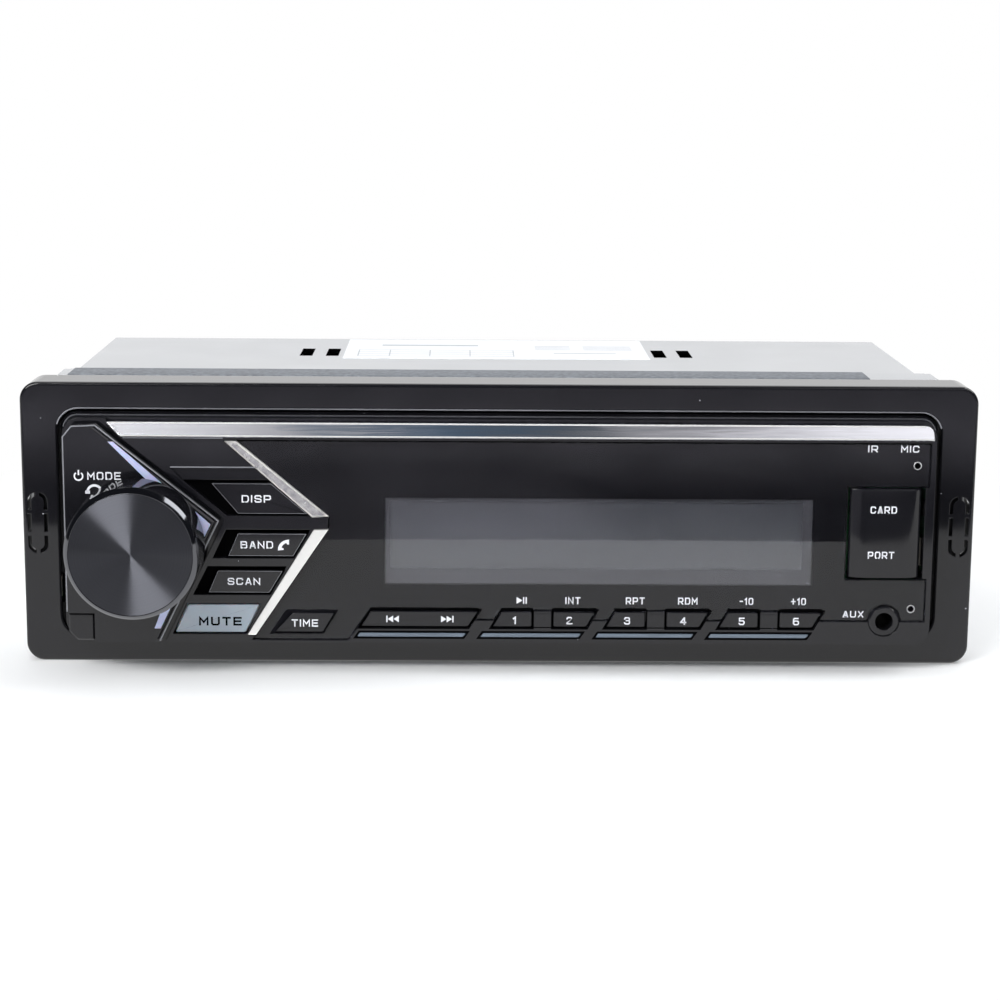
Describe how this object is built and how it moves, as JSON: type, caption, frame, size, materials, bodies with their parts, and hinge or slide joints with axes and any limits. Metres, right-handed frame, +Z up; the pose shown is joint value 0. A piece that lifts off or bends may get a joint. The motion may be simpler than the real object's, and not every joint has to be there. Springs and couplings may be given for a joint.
{
  "type": "car radio",
  "caption": "Single-slot car radio: steel chassis, gloss black trim ring and a pull-off faceplate with volume knob, slanted keys, display, socket door and rear sockets.",
  "frame": {"origin": "centre of the trim ring's rear face, the plane that seats on the dashboard", "axes": "+Z up, +Y to the back of the chassis, the faceplate looks along -Y, +X to the right"},
  "size_m": [0.188, 0.1266, 0.056],
  "materials": {
    "trim_ring": "gloss black",
    "front_frame": "matte black",
    "chassis_tray": "zinc plated",
    "top_cover": "zinc plated",
    "rear_panel": "zinc plated",
    "heat_sink": "extruded, bare",
    "iso_connector": "moulded black",
    "iso_pins": "tinned brass",
    "antenna_socket": "nickel plated",
    "rca_jacks": "nickel plated",
    "fuse": "translucent blue",
    "rear_stud": "zinc plated",
    "main_board": "green solder mask",
    "amplifier_chip": "moulded epoxy",
    "tuner_module": "tinned can",
    "capacitors": "sleeved cans",
    "logic_chips": "moulded epoxy",
    "rating_label": "white, blank boxes",
    "side_springs": "spring steel",
    "chassis_screws": "zinc plated",
    "chassis_connector": "ivory nylon",
    "faceplate_housing": "matte black",
    "face_connector": "moulded black",
    "front_bezel": "gloss black",
    "lens": "piano black with a clear window",
    "chrome_strip": "mirror",
    "chevron_bars": "brushed with bright edges",
    "knob_panel": "gloss black",
    "light_guide": "milky lilac",
    "key_light_bars": "smoked blue grey",
    "lcd_panel": "dark grey, switched off",
    "lcd_frame": "grey",
    "front_board": "green solder mask",
    "encoder": "die cast",
    "encoder_plunger": "white acetal",
    "tact_switches": "moulded black",
    "usb_socket": "nickel plated",
    "card_socket": "nickel plated",
    "aux_jack": "satin black",
    "microphone": "rubber boot",
    "ir_receiver": "dark epoxy",
    "faceplate_screws": "black zinc",
    "knob_shaft": "turned",
    "knob_body": "gloss black",
    "knob_cap": "spun, black anodised",
    "key_mute": "translucent blue grey",
    "release_latch": "white acetal",
    "media_door": "gloss black",
    "keys": "gloss black"
  },
  "bodies": {
    "chassis": {"trim_ring": "trim_ring", "front_frame": "front_frame", "chassis_tray": "chassis_tray", "top_cover": "top_cover", "rear_panel": "rear_panel", "heat_sink": "heat_sink", "iso_connector": "iso_connector", "iso_pins": "iso_pins", "antenna_socket": "antenna_socket", "rca_jacks": "rca_jacks", "fuse": "fuse", "rear_stud": "rear_stud", "main_board": "main_board", "amplifier_chip": "amplifier_chip", "tuner_module": "tuner_module", "capacitors": "capacitors", "logic_chips": "logic_chips", "rating_label": "rating_label", "side_springs": "side_springs", "chassis_screws": "chassis_screws", "chassis_connector": "chassis_connector"},
    "faceplate": {"faceplate_housing": "faceplate_housing", "face_connector": "face_connector", "front_bezel": "front_bezel", "lens": "lens", "chrome_strip": "chrome_strip", "chevron_bars": "chevron_bars", "knob_panel": "knob_panel", "light_guide": "light_guide", "key_light_bars": "key_light_bars", "lcd_panel": "lcd_panel", "lcd_frame": "lcd_frame", "front_board": "front_board", "encoder": "encoder", "tact_switches": "tact_switches", "usb_socket": "usb_socket", "card_socket": "card_socket", "aux_jack": "aux_jack", "microphone": "microphone", "ir_receiver": "ir_receiver", "faceplate_screws": "faceplate_screws"},
    "knob_push": {"encoder_plunger": "encoder_plunger"},
    "knob": {"knob_shaft": "knob_shaft", "knob_body": "knob_body", "knob_cap": "knob_cap"},
    "key_display": {"key_display": "keys"},
    "key_band": {"key_band": "keys"},
    "key_scan": {"key_scan": "keys"},
    "key_mute": {"key_mute": "key_mute"},
    "key_clock": {"key_clock": "keys"},
    "preset_1": {"preset_1": "keys"},
    "preset_2": {"preset_2": "keys"},
    "preset_3": {"preset_3": "keys"},
    "preset_4": {"preset_4": "keys"},
    "preset_5": {"preset_5": "keys"},
    "preset_6": {"preset_6": "keys"},
    "seek_rocker": {"seek_rocker": "keys"},
    "release_button": {"release_button": "keys"},
    "release_latch": {"release_latch": "release_latch"},
    "media_door": {"media_door": "media_door"}
  },
  "joints": [
    {"name": "faceplate_pull", "type": "slide", "parent": "chassis", "child": "faceplate", "axis": [0, -1, 0], "range_m": [0, 0.04]},
    {"name": "knob_press", "type": "slide", "parent": "faceplate", "child": "knob_push", "axis": [0, 1, 0], "range_m": [0, 0.0005], "stiffness_N_per_m": 800, "springref_m": -0.0005},
    {"name": "knob_turn", "type": "hinge", "parent": "knob_push", "child": "knob", "pos_m": [-0.0702, -0.011, -0.0022], "axis": [0, -1, 0], "continuous": true},
    {"name": "key_display_press", "type": "slide", "parent": "faceplate", "child": "key_display", "axis": [0, 1, 0], "range_m": [0, 0.0004], "stiffness_N_per_m": 500, "springref_m": -0.0005},
    {"name": "key_band_press", "type": "slide", "parent": "faceplate", "child": "key_band", "axis": [0, 1, 0], "range_m": [0, 0.0004], "stiffness_N_per_m": 500, "springref_m": -0.0005},
    {"name": "key_scan_press", "type": "slide", "parent": "faceplate", "child": "key_scan", "axis": [0, 1, 0], "range_m": [0, 0.0004], "stiffness_N_per_m": 500, "springref_m": -0.0005},
    {"name": "key_mute_press", "type": "slide", "parent": "faceplate", "child": "key_mute", "axis": [0, 1, 0], "range_m": [0, 0.0004], "stiffness_N_per_m": 500, "springref_m": -0.0005},
    {"name": "key_clock_press", "type": "slide", "parent": "faceplate", "child": "key_clock", "axis": [0, 1, 0], "range_m": [0, 0.0004], "stiffness_N_per_m": 500, "springref_m": -0.0005},
    {"name": "preset_1_press", "type": "slide", "parent": "faceplate", "child": "preset_1", "axis": [0, 1, 0], "range_m": [0, 0.0004], "stiffness_N_per_m": 500, "springref_m": -0.0005},
    {"name": "preset_2_press", "type": "slide", "parent": "faceplate", "child": "preset_2", "axis": [0, 1, 0], "range_m": [0, 0.0004], "stiffness_N_per_m": 500, "springref_m": -0.0005},
    {"name": "preset_3_press", "type": "slide", "parent": "faceplate", "child": "preset_3", "axis": [0, 1, 0], "range_m": [0, 0.0004], "stiffness_N_per_m": 500, "springref_m": -0.0005},
    {"name": "preset_4_press", "type": "slide", "parent": "faceplate", "child": "preset_4", "axis": [0, 1, 0], "range_m": [0, 0.0004], "stiffness_N_per_m": 500, "springref_m": -0.0005},
    {"name": "preset_5_press", "type": "slide", "parent": "faceplate", "child": "preset_5", "axis": [0, 1, 0], "range_m": [0, 0.0004], "stiffness_N_per_m": 500, "springref_m": -0.0005},
    {"name": "preset_6_press", "type": "slide", "parent": "faceplate", "child": "preset_6", "axis": [0, 1, 0], "range_m": [0, 0.0004], "stiffness_N_per_m": 500, "springref_m": -0.0005},
    {"name": "seek_rock", "type": "hinge", "parent": "faceplate", "child": "seek_rocker", "pos_m": [-0.0157, -0.0143, -0.0172], "axis": [0, 0, 1], "range_deg": [-1.5, 1.5], "stiffness_Nm_per_rad": 0.05},
    {"name": "release_press", "type": "slide", "parent": "faceplate", "child": "release_button", "axis": [0, 1, 0], "range_m": [0, 0.0015], "stiffness_N_per_m": 300, "springref_m": -0.0015},
    {"name": "latch_slide", "type": "slide", "parent": "faceplate", "child": "release_latch", "axis": [1, 0, 0], "range_m": [0, 0.0015]},
    {"name": "media_door_hinge", "type": "hinge", "parent": "faceplate", "child": "media_door", "pos_m": [0.0698, -0.0162, 0.00025], "axis": [0, 0, -1], "range_deg": [0, 95]}
  ],
  "couplings": [
    {"joint": "latch_slide", "follows": "release_press", "ratio": 1}
  ]
}
